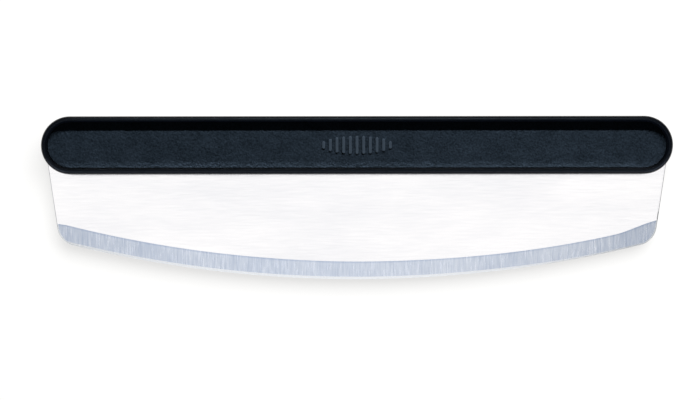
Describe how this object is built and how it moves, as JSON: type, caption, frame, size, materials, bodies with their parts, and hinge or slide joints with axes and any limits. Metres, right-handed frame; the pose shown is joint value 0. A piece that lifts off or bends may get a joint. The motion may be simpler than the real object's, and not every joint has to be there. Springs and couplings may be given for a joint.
{
  "type": "rocking pizza knife",
  "caption": "Long two-handed rocking knife: a wide curved steel blade, ground along its edge, held by its tang in a slot-shaped black handle with textured grip panels.",
  "frame": {"origin": "centre of the knife's footprint, on the surface that it lies on", "axes": "+X along the handle, +Y from the cutting edge up to the spine of the handle, +Z out of the front face"},
  "size_m": [0.36, 0.0932, 0.026],
  "materials": {
    "blade_steel": "satin",
    "handle_nylon": "satin",
    "grip_nylon": "matte",
    "fastener_steel": "satin",
    "insert_brass": "satin"
  },
  "bodies": {
    "root": {"blade": "blade_steel", "front_handle_shell": "handle_nylon", "back_handle_shell": "handle_nylon", "front_grip_panel": "grip_nylon", "back_grip_panel": "grip_nylon", "handle_screws": "fastener_steel", "screw_washers": "fastener_steel", "threaded_inserts": "insert_brass", "locating_dowels": "fastener_steel"}
  },
  "joints": []
}
